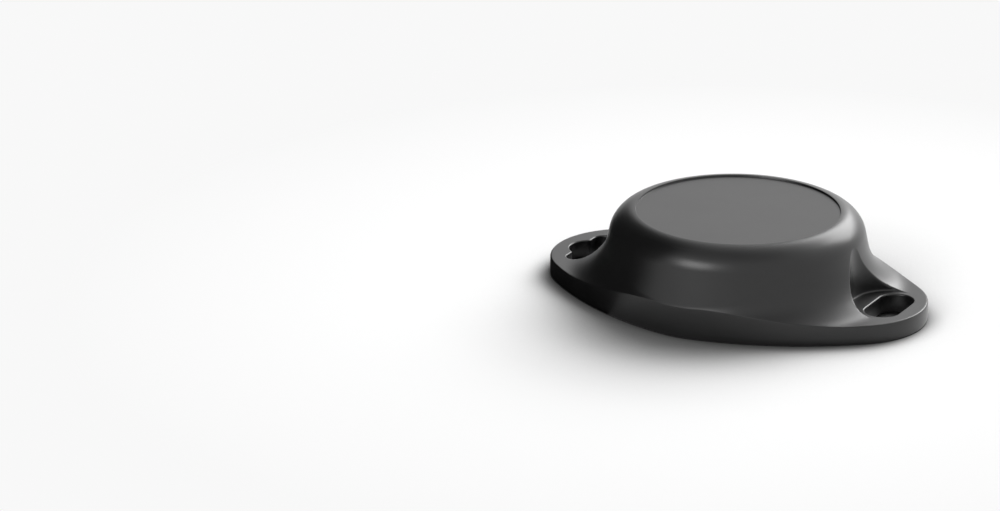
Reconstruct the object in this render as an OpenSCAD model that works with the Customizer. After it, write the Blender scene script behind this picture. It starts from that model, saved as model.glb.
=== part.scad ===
// Wireless beacon in a flanged puck housing, closed from below by a twist-off cover.
// Millimetres. The underside lies on z = 0 and +Z points out of the mounting face.
// +X runs along the flange towards the wide slot; the keyhole is on the -X side.

/* [Coin cell] */
// Diameter of the coin cell
cell_d = 24.5; // [23:0.1:26]
// Thickness of the coin cell
cell_t = 5.0; // [4:0.1:6]
// Sheet thickness of the cell's steel cup
can_t = 0.3; // [0.2:0.05:0.4]
// Sheet thickness of the cell's steel cap
cap_t = 0.25; // [0.2:0.05:0.35]
// Radial width of the plastic ring between cup and cap
cell_ring_w = 0.9; // [0.7:0.05:1.2]
// Height of the cap above the crimped edge of the cup
cap_rise = 0.3; // [0.2:0.05:0.5]

/* [Cell holder] */
// Play around the cell in its holder
cell_gap = 0.2; // [0.1:0.05:0.4]
// Wall of the holder
holder_wall = 1.2; // [0.9:0.1:1.5]
// Floor of the holder, between the cell and the board
holder_floor = 0.6; // [0.5:0.1:1]
// Part of the cell's thickness that stands clear of the holder's wall
cell_proud = 1.8; // [1.2:0.1:2.4]
// Width of each hook that holds the cell down
hook_w = 5; // [3.5:0.5:6]
// Thickness of each hook's lip
hook_t = 0.35; // [0.3:0.05:0.45]
// Reach of each hook's lip over the cell
hook_reach = 0.5; // [0.3:0.1:0.8]
// Step from the holder's outer wall in to the back of each hook
hook_inset = 0.2; // [0.1:0.05:0.4]
// Angle of the first hook about the axis
hook_angle = 50; // [35:1:65]

/* [Cell contacts] */
// Sheet thickness of the contacts
contact_t = 0.3; // [0.2:0.05:0.4]
// Width of the contacts
contact_w = 5; // [3:0.5:6]
// Play beside each contact in the holder's notch
notch_gap = 0.5; // [0.3:0.1:0.8]
// Room for the spring under the cell's cap
spring_room = 0.5; // [0.45:0.05:0.8]
// Diameter of the pip that touches the cap
pip_d = 3; // [2:0.25:4]
// Length of each solder foot on the board
foot_l = 2.6; // [2:0.1:2.9]
// Gap left where metal just touches metal
touch_gap = 0.02; // [0.01:0.01:0.05]

/* [Circuit board] */
// Thickness of the circuit board
board_t = 1.0; // [0.8:0.1:1.6]
// Gap between the board and the bayonet ledges it passes on the way in
board_gap = 0.3; // [0.2:0.05:0.5]
// Thickness of the solder pads under the board
pad_t = 0.1; // [0.05:0.01:0.15]
// Diameter of each test pad
test_pad_d = 1.2; // [0.8:0.1:1.5]
// Angle from one test pad to the next
test_pad_step = 6; // [5.5:0.5:7]
// Angle of the middle of the test pads
test_pad_angle = 60; // [56:1:66]

/* [Board screws] */
// Diameter of the screws' pan heads
head_d = 3.8; // [3.2:0.1:4]
// Height of the screws' pan heads
head_h = 1.3; // [1:0.1:1.5]
// Gap between the cell's holder and the screw heads
head_clear = 1.0; // [0.6:0.1:1.6]
// Board left between the screw heads and its edge
head_margin = 0.2; // [0.1:0.05:0.5]
// Diameter of the screws' shanks
shank_d = 1.6; // [1.4:0.1:2]
// Length of the screws under the head
screw_l = 3.8; // [3.2:0.1:4.2]
// Width of each arm of the cross recess
cross_w = 0.45; // [0.35:0.05:0.6]
// Length across the cross recess
cross_l = 2.0; // [1.6:0.1:2.4]
// Depth of the cross recess
cross_d = 0.7; // [0.5:0.1:0.9]
// Play of the shank in its pilot hole, in radius
pilot_gap = 0.05; // [0.03:0.01:0.1]
// Play of the shank in the board, in radius
board_hole_gap = 0.3; // [0.2:0.05:0.4]
// Wall of the bosses round the pilot holes
boss_wall = 1.15; // [0.9:0.05:1.3]
// Width of the rib from each boss to the housing's wall
rib_w = 1.4; // [1:0.1:2]
// Blind depth left past the end of each screw
pilot_spare = 0.4; // [0.2:0.1:0.5]
// Angle of the first boss about the axis
boss_angle = 30; // [26:1:34]

/* [Radio module] */
// Module board: width, length, thickness
module_size = [10, 15.5, 0.8]; // [0.6:0.1:17]
// Gap from the axis to the near edge of the module
module_y0 = 0.8; // [0.4:0.1:1.2]
// Shield can: width, length, height
shield_size = [9, 9.4, 1.3]; // [1.2:0.1:10]
// Sheet thickness of the shield can
shield_t = 0.2; // [0.1:0.05:0.25]
// Margin from the module's near edge to the shield
shield_margin = 0.4; // [0.2:0.1:0.8]
// Radio chip: width, length, height
chip_size = [5.6, 5.6, 0.85]; // [0.6:0.05:6]
// Module crystal: width, length, height
crystal_size = [2.0, 1.4, 0.5]; // [0.4:0.1:2.5]
// Gap between the parts inside the shield
inner_gap = 0.4; // [0.2:0.05:0.6]
// Chip antenna: width, length, height
antenna_size = [3.2, 1.6, 1.2]; // [0.8:0.1:4]
// Gap from the shield to the antenna's keep-out centre line
antenna_gap = 2.6; // [2:0.1:3]

/* [Board parts] */
// Gap between neighbouring parts
part_gap = 1.2; // [0.8:0.1:1.6]
// Clock crystal: width, length, height
clock_size = [1.5, 3.2, 0.9]; // [0.6:0.1:3.6]
// Bulk capacitor: width, length, height
bulk_size = [2.8, 3.5, 1.9]; // [1.5:0.1:4]
// Motion sensor: width, length, height
sensor_size = [2.0, 2.0, 0.9]; // [0.7:0.05:2.5]
// Transistor body: width, length, height
transistor_size = [2.9, 1.3, 1.0]; // [0.8:0.05:3.2]
// Transistor leg: width, reach, thickness
leg_size = [0.4, 0.5, 0.15]; // [0.1:0.05:0.7]
// Chip capacitor: width, length, height
ceramic_size = [0.8, 1.6, 0.8]; // [0.5:0.05:1.8]
// Chip resistor: width, length, height
resistor_size = [0.8, 1.6, 0.45]; // [0.3:0.05:1.8]
// Distance between neighbours in a row of chip parts
row_pitch = 2.3; // [1.9:0.1:2.5]
// Number of chip parts in each row
row_count = 6; // [4:1:7]
// Status light: width, length, height of its base
led_size = [1.6, 0.9, 0.35]; // [0.3:0.05:1.8]
// Height of the status light's clear lens
lens_h = 0.35; // [0.2:0.05:0.5]
// Margin from the base's ends to the lens
lens_margin = 0.3; // [0.2:0.05:0.4]
// Angle of the status light about the axis
led_angle = 115; // [110:1:120]
// Distance along Y from the axis to the clock crystal and the bulk capacitor
column_y = 4; // [3:0.5:6]

/* [Push button] */
// Button base: width, length, height
button_size = [4.2, 3.2, 1.6]; // [1.5:0.1:4.5]
// Sheet thickness of the frame that holds the plunger in
frame_t = 0.2; // [0.15:0.05:0.3]
// Diameter of the plunger
plunger_d = 1.7; // [1.4:0.1:1.9]
// Play of the plunger in the frame, in radius
plunger_gap = 0.08; // [0.05:0.01:0.1]
// Width of the plunger's collar
collar_w = 0.3; // [0.25:0.05:0.35]
// Height of the plunger's collar
collar_h = 0.3; // [0.2:0.05:0.35]
// Height of the plunger beyond the frame
plunger_out = 0.5; // [0.4:0.05:0.6]
// Travel of the plunger
button_travel = 0.25; // [0.15:0.05:0.3]
// Room between the pressed collar and the snap dome
dome_gap = 0.05; // [0.03:0.01:0.1]
// Sheet thickness of the snap dome
snap_t = 0.08; // [0.06:0.01:0.1]
// Rise of the snap dome
snap_rise = 0.25; // [0.2:0.05:0.3]
// Play round the collar in the base
well_gap = 0.25; // [0.15:0.05:0.35]

/* [Back cover] */
// Depth of the cover's outer face inside the mounting face
cover_recess = 0.3; // [0.2:0.1:0.6]
// Thickness of the cover's plate
cover_t = 2.0; // [1.8:0.1:2.6]
// Play round the cover's plate in the bay
cover_gap = 0.15; // [0.1:0.05:0.3]
// Wall of the cover's ring
ring_wall = 1.4; // [1.1:0.1:1.6]
// Play between the cover's ring and the ledges
ring_gap = 0.2; // [0.15:0.05:0.3]
// Thickness of the lugs
lug_t = 1.2; // [1:0.1:1.4]
// Angle that each lug spans
lug_deg = 36; // [30:1:38]
// Gap between the lugs and the ledges that carry them
lug_gap = 0.1; // [0.05:0.05:0.2]
// Step from the rim of the cover's plate in to the rim of the lugs
lug_inset = 0.1; // [0.05:0.05:0.3]
// Play between the lugs' ends and the stops, as an angle
stop_gap_deg = 1.5; // [1:0.5:2]
// Length of the coin slot
coin_l = 16; // [12:0.5:20]
// Width of the coin slot
coin_w = 2.2; // [1.8:0.1:2.6]
// Depth of the coin slot
coin_d = 1.1; // [0.8:0.1:1.3]
// Number of lugs
lug_count = 3; // [3:1:3]
// Diameter of the round index marks
mark_d = 1.2; // [0.8:0.1:1.6]
// Depth of the round index marks
mark_depth = 0.25; // [0.15:0.05:0.4]
// Distance of the index marks from the wall of the bay, inside and outside
mark_inset = 2.1; // [1.6:0.1:2.4]
// Angle between the closed mark and the open mark
turn_deg = 50; // [48:1:52]
// Diameter of the foam pad that steadies the cell
foam_d = 18; // [14:0.5:20]
// Thickness of the foam pad
foam_t = 0.6; // [0.5:0.05:1]
// Gap between the foam pad and the cell
foam_gap = 0.1; // [0.05:0.05:0.2]

/* [Seal] */
// Cord diameter of the sealing ring
seal_d = 1.2; // [1:0.05:1.25]
// Clearance of the sealing ring from the ring wall that carries it
seal_gap = 0.02; // [0.01:0.01:0.05]
// Room above the sealing ring
seal_room = 0.4; // [0.3:0.05:0.6]

/* [Bayonet ledges] */
// Reach of the ledges into the bay
ledge_depth = 1.2; // [1:0.05:1.4]
// Thickness of the ledges
ledge_t = 1.2; // [1:0.1:1.4]
// Angle that each ledge spans
ledge_deg = 50; // [48:1:52]
// Angle of ledge left beyond each stop
stop_margin_deg = 0.8; // [0.5:0.1:1.5]
// Step from the face of each ledge in to the face of its stop
stop_inset = 0.15; // [0.1:0.05:0.3]

/* [Housing] */
// Distance from the bay to where the dome's wall would reach the flange's top
dome_wall = 4.5; // [4.3:0.05:4.8]
// Wall over the electronics
top_wall = 2.0; // [1.8:0.1:2.6]
// Gap over the tallest part
head_gap = 1.65; // [1.2:0.05:2]
// Chamfer inside the top of the bay
bay_chamfer = 1.3; // [1:0.1:1.6]
// Draft of the dome's wall, in degrees
dome_draft = 12; // [10:0.5:13]
// Radius of the round shoulder
shoulder_r = 5.0; // [4.6:0.05:5.3]
// Radius of the hollow between the dome and the flange
hollow_r = 5.4; // [4.6:0.1:6]
// Radius of the shallow disc recess in the top
disc_r = 18.2; // [16:0.1:18.4]
// Depth of the shallow disc recess
disc_depth = 0.3; // [0.2:0.05:0.5]

/* [Flange] */
// Thickness of the flange
flange_t = 3.4; // [2.8:0.1:4]
// Wall beside the bay at the middle of the long sides
side_wall = 4.1; // [3.8:0.1:5]
// Radius of each end of the flange
end_r = 14; // [12:0.5:15]
// Radius of the four long flanks
flank_r = 58; // [52:1:64]
// Radius where two flanks meet at the middle
waist_r = 20; // [16:0.5:22]
// Length from each slot's centre to the end of the flange
end_margin = 6.15; // [5.5:0.05:7]

/* [Screw pockets and slots] */
// Radius of the floor of each screw pocket
pocket_r = 7.2; // [6.8:0.1:7.4]
// Draft of the screw pockets, in degrees
pocket_draft = 1.5; // [1:0.25:3]
// Wall between the bay and the floor of each pocket
pocket_wall = 3.15; // [3:0.05:3.5]
// Distance from each pocket's centre to its slot's centre
slot_shift = 0.7; // [0.3:0.05:1.2]
// Width of the wide slot
wide_w = 6.2; // [5:0.1:6.6]
// Length of the wide slot
wide_l = 12; // [10:0.1:12.6]
// Diameter of the keyhole's round middle
key_d = 7.3; // [6.5:0.1:7.8]
// Width of the keyhole's narrow ends
key_w = 3.4; // [3:0.1:4.2]
// Length of the keyhole
key_l = 13.7; // [12:0.1:13.8]
// Fillet between the keyhole's middle and its ends
key_fillet = 1.0; // [0.6:0.1:1.4]

/* [Hidden] */
$fn = 96;
// Overlap that keeps a cut or a joint from ending on a face
eps = 0.5;
// Depth by which an arc bites past the line it is tangent to, so that they cross cleanly
bite = 0.002;
// Factor that carries the corners of a sector past the arc it bounds
past = 1.1;

// Radii, from the cell outwards
cell_r = cell_d / 2;
holder_in_r = cell_r + cell_gap;
holder_r = holder_in_r + holder_wall;
boss_ring_r = holder_r + head_clear + head_d / 2;
board_r = boss_ring_r + head_d / 2 + head_margin;
ledge_r = board_r + board_gap;
bay_r = ledge_r + ledge_depth;
ring_r = ledge_r - ring_gap;
lug_r = bay_r - cover_gap - lug_inset;
dome_r = bay_r + dome_wall;
annulus_r = holder_r + part_gap / 4 + button_size[1] / 2;

// Heights, from the mounting face upwards
plate_z = cover_recess + cover_t;
seal_z = plate_z + seal_gap + seal_d / 2;
ledge_z = plate_z + seal_d + seal_room;
lug_z = ledge_z + ledge_t + lug_gap;
ring_top_z = lug_z + lug_t;
cell_z = plate_z + foam_t + foam_gap;
cell_top_z = cell_z + cell_t;
floor_z = cell_top_z + spring_room;
board_z = floor_z + holder_floor;
board_top_z = board_z + board_t;
module_top_z = board_top_z + module_size[2];
tallest = max(module_size[2] + max(shield_size[2], antenna_size[2]), bulk_size[2]);
ceiling_z = board_top_z + tallest + head_gap;
body_h = ceiling_z + top_wall + disc_depth;

// Dome profile: centres of the shoulder and of the hollow, and where each meets the wall
shoulder_z = body_h - shoulder_r;
hollow_z = flange_t + hollow_r;
shoulder_x = dome_r - (shoulder_z - flange_t) * tan(dome_draft) - shoulder_r / cos(dome_draft);
hollow_x = dome_r - (hollow_z - flange_t) * tan(dome_draft) + hollow_r / cos(dome_draft);
wall_dir = [cos(dome_draft), sin(dome_draft)];
wall_top = [shoulder_x, shoulder_z] + shoulder_r * wall_dir;
wall_foot = [hollow_x, hollow_z] - hollow_r * wall_dir;

// Outline of the flange: three arcs a quarter, each tangent to the next
pocket_x = bay_r + pocket_wall + pocket_r;
slot_x = pocket_x - slot_shift;
half_l = slot_x + end_margin;
half_w = bay_r + side_wall;
end_c = [half_l - end_r, 0];
waist_c = [0, half_w - waist_r];
chord = waist_c - end_c;
reach_end = flank_r - end_r;
reach_waist = flank_r - waist_r;
along = (reach_end ^ 2 - reach_waist ^ 2 + norm(chord) ^ 2) / (2 * norm(chord));
across = sqrt(reach_end ^ 2 - along ^ 2);
chord_dir = chord / norm(chord);
flank_c = end_c + along * chord_dir + across * [-chord_dir[1], chord_dir[0]];
end_join = end_c + end_r * (end_c - flank_c) / reach_end;
waist_join = waist_c + waist_r * (waist_c - flank_c) / reach_waist;

// Rows of parts on the top of the board
row1_y = module_y0 - part_gap - ceramic_size[1] / 2;
row2_y = row1_y - ceramic_size[1] / 2 - part_gap - resistor_size[1] / 2;
row3_y = row2_y - resistor_size[1] / 2 - part_gap - transistor_size[1] / 2 - leg_size[1];

// Push button: radius of the well in its base, and the heights of its pieces
well_r = plunger_d / 2 + collar_w + well_gap;
frame_z = board_z - button_size[2] - frame_t;
collar_z = frame_z + frame_t + touch_gap;
snap_z = collar_z + collar_h + button_travel + dome_gap;

CASE = "#2a2b2d";
COVER = "#303134";
RUBBER = "#17181a";
FOAM = "#4b4c50";
BOARD = "#1f5a3a";
STEEL = "#b9bbbe";
TIN = "#c9c7bf";
GOLD = "#c9a23c";
NYLON = "#e6e3d8";
CHIP = "#202124";
CERAMIC = "#b89468";

// A block centred on x and y with its lower face at z
module block(size, x = 0, y = 0, z = 0) {
    translate([x - size[0] / 2, y - size[1] / 2, z]) cube(size);
}

// A ring sector between two radii, centred on an angle
module sector(r_in, r_out, z, h, deg, mid) {
    rotate([0, 0, mid - deg / 2])
        rotate_extrude(angle = deg)
            translate([r_in, z]) square([r_out - r_in, h]);
}

// A slot with round ends, centred, running along Y
module slot_2d(w, l) {
    square([w, l - w], center = true);
    for (s = [-1, 1]) translate([0, s * (l - w) / 2]) circle(d = w);
}

// Places its children at each boss
module at_bosses() {
    for (i = [0 : 2])
        rotate([0, 0, boss_angle + i * 120]) translate([boss_ring_r, 0, 0]) children();
}

// One quarter of the flange's outline between its two joins, under the flank's arc
module quarter_2d() {
    intersection() {
        translate(flank_c) circle(r = flank_r, $fn = 720);
        polygon([
            [0, 0], end_c, flank_c + past * (end_join - flank_c),
            flank_c + past * (waist_join - flank_c), waist_c
        ]);
    }
}

// The flange's whole outline, an eye shape with rounded corners
module outline_2d() {
    for (i = [0, 1], j = [0, 1]) mirror([i, 0]) mirror([0, j]) quarter_2d();
    for (s = [-1, 1]) {
        translate(s * end_c) circle(r = end_r, $fn = 360);
        translate(s * waist_c) circle(r = waist_r, $fn = 360);
    }
}

// Half section of the dome and flange: shoulder, drafted wall, hollow and disc recess
module profile_2d() {
    difference() {
        union() {
            polygon([
                [0, 0], [half_l + eps, 0], [half_l + eps, flange_t], [hollow_x, flange_t],
                [hollow_x, hollow_z], wall_foot, wall_top, [shoulder_x, body_h], [0, body_h]
            ]);
            translate([shoulder_x, shoulder_z]) circle(r = shoulder_r + bite);
        }
        translate([hollow_x, hollow_z]) circle(r = hollow_r + bite, $fn = 180);
        translate([-eps, body_h - disc_depth]) square([disc_r + eps, disc_depth + eps]);
    }
}

// Screw pocket: a round well with draft, open at the top, its floor level with the flange
module pocket() {
    h = body_h - flange_t + eps;
    translate([0, 0, flange_t])
        cylinder(h = h, r1 = pocket_r, r2 = pocket_r + h * tan(pocket_draft));
}

// Keyhole outline: a round middle for the screw's head and two narrow ends
module keyhole_2d() {
    fy = sqrt((key_d / 2 + key_fillet) ^ 2 - (key_w / 2 + key_fillet) ^ 2);
    fc = [key_w / 2 + key_fillet, fy];
    circle(d = key_d);
    slot_2d(key_w, key_l);
    for (i = [0, 1], j = [0, 1]) mirror([i, 0]) mirror([0, j])
        difference() {
            polygon([[0, 0], fc, [0, fy]]);
            translate(fc) circle(r = key_fillet + bite);
        }
}

// Bay for the electronics, with a chamfer under the ceiling
module bay() {
    translate([0, 0, -eps]) cylinder(h = ceiling_z - bay_chamfer + eps, r = bay_r);
    translate([0, 0, ceiling_z - bay_chamfer])
        cylinder(h = bay_chamfer, r1 = bay_r, r2 = bay_r - bay_chamfer);
}

// Bosses that hang from the ceiling and carry the board
module bosses() {
    boss_r = shank_d / 2 + pilot_gap + boss_wall;
    at_bosses() translate([0, 0, board_top_z]) {
        cylinder(h = ceiling_z - board_top_z + eps, r = boss_r);
        translate([0, -rib_w / 2, 0])
            cube([bay_r - boss_ring_r + eps, rib_w, ceiling_z - board_top_z + eps]);
    }
}

// Ledges that hold the cover's lugs, each with a stop at its closed end
module ledges() {
    stop_deg = (ledge_deg - lug_deg) / 2 - stop_gap_deg - stop_margin_deg;
    stop_mid = lug_deg / 2 + stop_gap_deg + stop_deg / 2;
    for (i = [0 : lug_count - 1]) {
        a = i * 360 / lug_count;
        sector(ledge_r, bay_r + eps, ledge_z, ledge_t, ledge_deg, a);
        sector(ledge_r + stop_inset, bay_r + eps, ledge_z + ledge_t - eps,
            lug_gap + lug_t + eps, stop_deg, a + stop_mid);
    }
}

// Round index mark sunk into a face
module mark(r, angle, z) {
    rotate([0, 0, angle]) translate([r, 0, z - eps]) cylinder(h = eps + mark_depth, d = mark_d, $fn = 24);
}

module housing() {
    color(CASE)
    difference() {
        union() {
            difference() {
                intersection() {
                    linear_extrude(height = body_h + eps) outline_2d();
                    rotate_extrude($fn = 180) profile_2d();
                }
                bay();
            }
            bosses();
            ledges();
        }
        for (s = [-1, 1]) translate([s * pocket_x, 0, 0]) pocket();
        translate([-slot_x, 0, -eps]) linear_extrude(height = flange_t + 2 * eps) keyhole_2d();
        translate([slot_x, 0, -eps]) linear_extrude(height = flange_t + 2 * eps) slot_2d(wide_w, wide_l);
        at_bosses() translate([0, 0, board_top_z - eps])
            cylinder(h = screw_l - board_t + pilot_spare + eps, r = shank_d / 2 + pilot_gap);
        for (a = [0, turn_deg]) mark(bay_r + mark_inset, 90 - a, 0);
    }
}

// Twist-off cover: plate, ring and lugs, with a coin slot outside
module back_cover() {
    color(COVER)
    difference() {
        union() {
            translate([0, 0, cover_recess]) cylinder(h = cover_t, r = bay_r - cover_gap);
            difference() {
                translate([0, 0, plate_z - eps]) cylinder(h = ring_top_z - plate_z + eps, r = ring_r);
                translate([0, 0, plate_z]) cylinder(h = ring_top_z - plate_z + eps, r = ring_r - ring_wall);
            }
            for (i = [0 : lug_count - 1])
                sector(ring_r - eps, lug_r, lug_z, lug_t, lug_deg, i * 360 / lug_count);
        }
        translate([0, 0, cover_recess - eps]) linear_extrude(height = coin_d + eps) slot_2d(coin_w, coin_l);
        mark(bay_r - mark_inset, 90, cover_recess);
    }
}

module cover_seal() {
    color(RUBBER)
    rotate_extrude() translate([ring_r + seal_gap + seal_d / 2, seal_z]) circle(d = seal_d, $fn = 32);
}

module foam_pad() {
    color(FOAM) translate([0, 0, plate_z]) cylinder(h = foam_t, d = foam_d);
}

module circuit_board() {
    color(BOARD)
    difference() {
        translate([0, 0, board_z]) cylinder(h = board_t, r = board_r);
        at_bosses() translate([0, 0, board_z - eps])
            cylinder(h = board_t + 2 * eps, r = shank_d / 2 + board_hole_gap);
    }
}

// Three pan-head screws, driven upwards through the board into the bosses
module board_screws() {
    color(STEEL)
    at_bosses() difference() {
        union() {
            translate([0, 0, board_z - head_h]) cylinder(h = head_h, d = head_d);
            translate([0, 0, board_z - eps]) cylinder(h = screw_l + eps, d = shank_d);
        }
        for (a = [0, 90]) rotate([0, 0, a])
            block([cross_l, cross_w, cross_d + eps], z = board_z - head_h - eps);
    }
}

module test_pads() {
    color(GOLD)
    for (i = [-1.5 : 1.5]) rotate([0, 0, test_pad_angle + i * test_pad_step])
        translate([boss_ring_r, 0, board_z - pad_t]) cylinder(h = pad_t, d = test_pad_d, $fn = 24);
}

// Holder under the board: floor, wall, two hooks, and notches for the contacts
module cell_holder() {
    wall_z = cell_z + cell_proud;
    hook_z = cell_z - touch_gap - hook_t;
    hook_deg = 2 * asin(hook_w / 2 / holder_r);
    color(CHIP)
    difference() {
        union() {
            translate([0, 0, wall_z]) cylinder(h = board_z - wall_z, r = holder_r);
            for (a = [0, 180])
                sector(cell_r - hook_reach, holder_r - hook_inset, hook_z,
                    wall_z + eps - hook_z, hook_deg, hook_angle + a);
        }
        translate([0, 0, hook_z + hook_t]) cylinder(h = floor_z - hook_z - hook_t, r = holder_in_r);
        for (a = [0, 180]) rotate([0, 0, a])
            translate([cell_r - notch_gap, -contact_w / 2 - notch_gap, wall_z - eps])
                cube([holder_wall + 2, contact_w + 2 * notch_gap, board_z - wall_z + 2 * eps]);
    }
}

// Side spring on the cell's cup, with its solder foot on the board
module positive_contact() {
    x0 = cell_r + touch_gap;
    leaf_z = cell_z + cell_proud;
    color(TIN) {
        translate([x0, -contact_w / 2, leaf_z]) cube([contact_t, contact_w, board_z - leaf_z]);
        translate([x0, -contact_w / 2, board_z - contact_t])
            cube([holder_r - x0 + foot_l, contact_w, contact_t]);
    }
}

// Spring strip on the holder's floor under the cap, with a pip and a solder foot
module negative_contact() {
    strip_z = floor_z - contact_t;
    foot_x = holder_r + foot_l;
    strip_l = holder_r - holder_wall / 2;
    color(TIN) {
        translate([-strip_l, -contact_w / 2, strip_z]) cube([strip_l + pip_d, contact_w, contact_t]);
        translate([-strip_l, -contact_w / 2, strip_z])
            cube([contact_t, contact_w, board_z - strip_z]);
        translate([-foot_x, -contact_w / 2, board_z - contact_t])
            cube([foot_x - strip_l + contact_t, contact_w, contact_t]);
        translate([0, 0, cell_top_z + touch_gap])
            cylinder(h = strip_z - cell_top_z - touch_gap + contact_t / 2, d = pip_d, $fn = 48);
    }
}

// Steel cup of the cell, open upwards, its edge crimped in over the plastic ring
module cell_cup() {
    cup_h = cell_t - cap_rise;
    color(STEEL) translate([0, 0, cell_z]) rotate_extrude() {
        square([cell_r - can_t, can_t]);
        translate([cell_r - can_t, can_t]) intersection() {
            circle(r = can_t, $fn = 32);
            translate([0, -can_t]) square(can_t);
        }
        translate([cell_r - can_t, can_t]) square([can_t, cup_h - can_t]);
        translate([cell_r - cell_ring_w, cup_h - can_t]) square([cell_ring_w, can_t]);
    }
}

// The cell's filling, one solid that stands for its stacked electrodes
module cell_core() {
    cap_r = cell_r - can_t - cell_ring_w;
    color(CHIP) translate([0, 0, cell_z + can_t]) {
        cylinder(h = cell_t / 2 - can_t, r = cell_r - can_t);
        cylinder(h = cell_t - can_t - cap_t, r = cap_r - cap_t);
    }
}

// Plastic ring that insulates the cap from the cup
module cell_ring() {
    cup_h = cell_t - cap_rise;
    color(NYLON) translate([0, 0, cell_z + cell_t / 2]) rotate_extrude()
        translate([cell_r - can_t - cell_ring_w, 0])
            square([cell_ring_w, cup_h - can_t - cell_t / 2]);
}

// Steel cap of the cell, an inverted cup that stands a little above the crimp
module cell_cap() {
    cap_r = cell_r - can_t - cell_ring_w;
    color(STEEL) translate([0, 0, cell_z + cell_t / 2]) rotate_extrude() {
        translate([cap_r - cap_t, 0]) square([cap_t, cell_t / 2]);
        translate([0, cell_t / 2 - cap_t]) square([cap_r, cap_t]);
    }
}

module module_board() {
    color(BOARD) block(module_size, 0, module_y0 + module_size[1] / 2, board_top_z);
}

// Shield can: five sides of thin sheet, open towards the module board
module shield_can() {
    y = module_y0 + shield_margin + shield_size[1] / 2;
    inside = [shield_size[0] - 2 * shield_t, shield_size[1] - 2 * shield_t, shield_size[2] - shield_t + eps];
    color(TIN) difference() {
        block(shield_size, 0, y, module_top_z);
        block(inside, 0, y, module_top_z - eps);
    }
}

module module_crystal() {
    y = module_y0 + shield_margin + shield_t + inner_gap + crystal_size[1] / 2;
    color(TIN) block(crystal_size, -chip_size[0] / 2 + crystal_size[0] / 2, y, module_top_z);
}

module radio_chip() {
    y = module_y0 + shield_margin + shield_t + 2 * inner_gap + crystal_size[1] + chip_size[1] / 2;
    color(CHIP) block(chip_size, 0, y, module_top_z);
}

module chip_antenna() {
    y = module_y0 + shield_margin + shield_size[1] + antenna_gap;
    color(CERAMIC) block(antenna_size, 0, y, module_top_z);
}

module clock_crystal() {
    color(TIN) block(clock_size, -module_size[0] / 2 - part_gap - clock_size[0] / 2, column_y, board_top_z);
}

module bulk_capacitor() {
    color("#c98a2b") block(bulk_size, module_size[0] / 2 + part_gap + bulk_size[0] / 2, column_y, board_top_z);
}

module motion_sensor() {
    color(CHIP) block(sensor_size, sensor_size[0] / 2 + part_gap / 2, row3_y, board_top_z);
}

// Small power transistor: body and three legs
module transistor() {
    x = -transistor_size[0] / 2 - part_gap / 2;
    reach = transistor_size[1] / 2 + leg_size[1];
    color(CHIP) {
        block(transistor_size, x, row3_y, board_top_z);
        for (p = [[-1, -1], [1, -1], [0, 1]])
            block([leg_size[0], reach, leg_size[2]], x + p[0] * transistor_size[0] / 3,
                row3_y + p[1] * reach / 2, board_top_z);
    }
}

// A row of equal chip parts across the board
module chip_row(size, y) {
    for (i = [0 : row_count - 1])
        block(size, (i - (row_count - 1) / 2) * row_pitch, y, board_top_z);
}

module ceramic_capacitors() {
    color(CERAMIC) chip_row(ceramic_size, row1_y);
}

module chip_resistors() {
    color(CHIP) chip_row(resistor_size, row2_y);
}

// Base of the status light, soldered under the board beside the button
module status_light() {
    color(NYLON) rotate([0, 0, led_angle]) translate([annulus_r, 0, 0])
        block([led_size[1], led_size[0], led_size[2]], z = board_z - led_size[2]);
}

module light_lens() {
    l = led_size[0] - 2 * lens_margin;
    color("#e8f4ff") rotate([0, 0, led_angle]) translate([annulus_r, 0, 0])
        block([led_size[1], l, lens_h], z = board_z - led_size[2] - lens_h);
}

// Base of the push button under the board, with a round well for the moving pieces
module button_base() {
    color(CHIP) difference() {
        block(button_size, 0, annulus_r, board_z - button_size[2]);
        translate([0, annulus_r, frame_z])
            cylinder(h = snap_z + snap_t + snap_rise - frame_z, r = well_r, $fn = 48);
    }
}

module button_frame() {
    color(STEEL) difference() {
        block([button_size[0], button_size[1], frame_t], 0, annulus_r, frame_z);
        translate([0, annulus_r, frame_z - eps])
            cylinder(h = frame_t + 2 * eps, r = plunger_d / 2 + plunger_gap, $fn = 48);
    }
}

// Snap dome: a shallow round sheet spring, hollow upwards
module snap_dome() {
    rim_r = well_r - plunger_gap;
    flat_r = plunger_d / 2;
    color(TIN) translate([0, annulus_r, snap_z]) rotate_extrude($fn = 48)
        polygon([
            [0, 0], [flat_r, 0], [rim_r, snap_rise], [rim_r, snap_rise + snap_t],
            [flat_r, snap_t], [0, snap_t]
        ]);
}

module button_plunger() {
    color(NYLON) translate([0, annulus_r, 0]) {
        translate([0, 0, frame_z - plunger_out])
            cylinder(h = collar_z - frame_z + plunger_out + collar_h / 2, d = plunger_d, $fn = 48);
        translate([0, 0, collar_z]) cylinder(h = collar_h, r = plunger_d / 2 + collar_w, $fn = 48);
    }
}

housing();
back_cover();
cover_seal();
foam_pad();
circuit_board();
board_screws();
test_pads();
cell_holder();
positive_contact();
negative_contact();
cell_cup();
cell_core();
cell_ring();
cell_cap();
module_board();
radio_chip();
module_crystal();
shield_can();
chip_antenna();
clock_crystal();
motion_sensor();
bulk_capacitor();
transistor();
ceramic_capacitors();
chip_resistors();
status_light();
light_lens();
button_base();
button_frame();
snap_dome();
button_plunger();
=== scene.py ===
# %% [markdown]
# # A screw-on wireless beacon in satin black plastic
#
# The real object is a low round housing on a pointed-oval flange. Everything that can be seen from above
# is one moulding, so this lesson spends most of its cells on that one surface, and then dresses the small
# pieces that the moulding hides. Lengths are worked out in millimetres and written into meshes in metres.

# %% Set up
import math

import bmesh
import bpy
import numpy as np
from mathutils import Matrix, Vector


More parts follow.
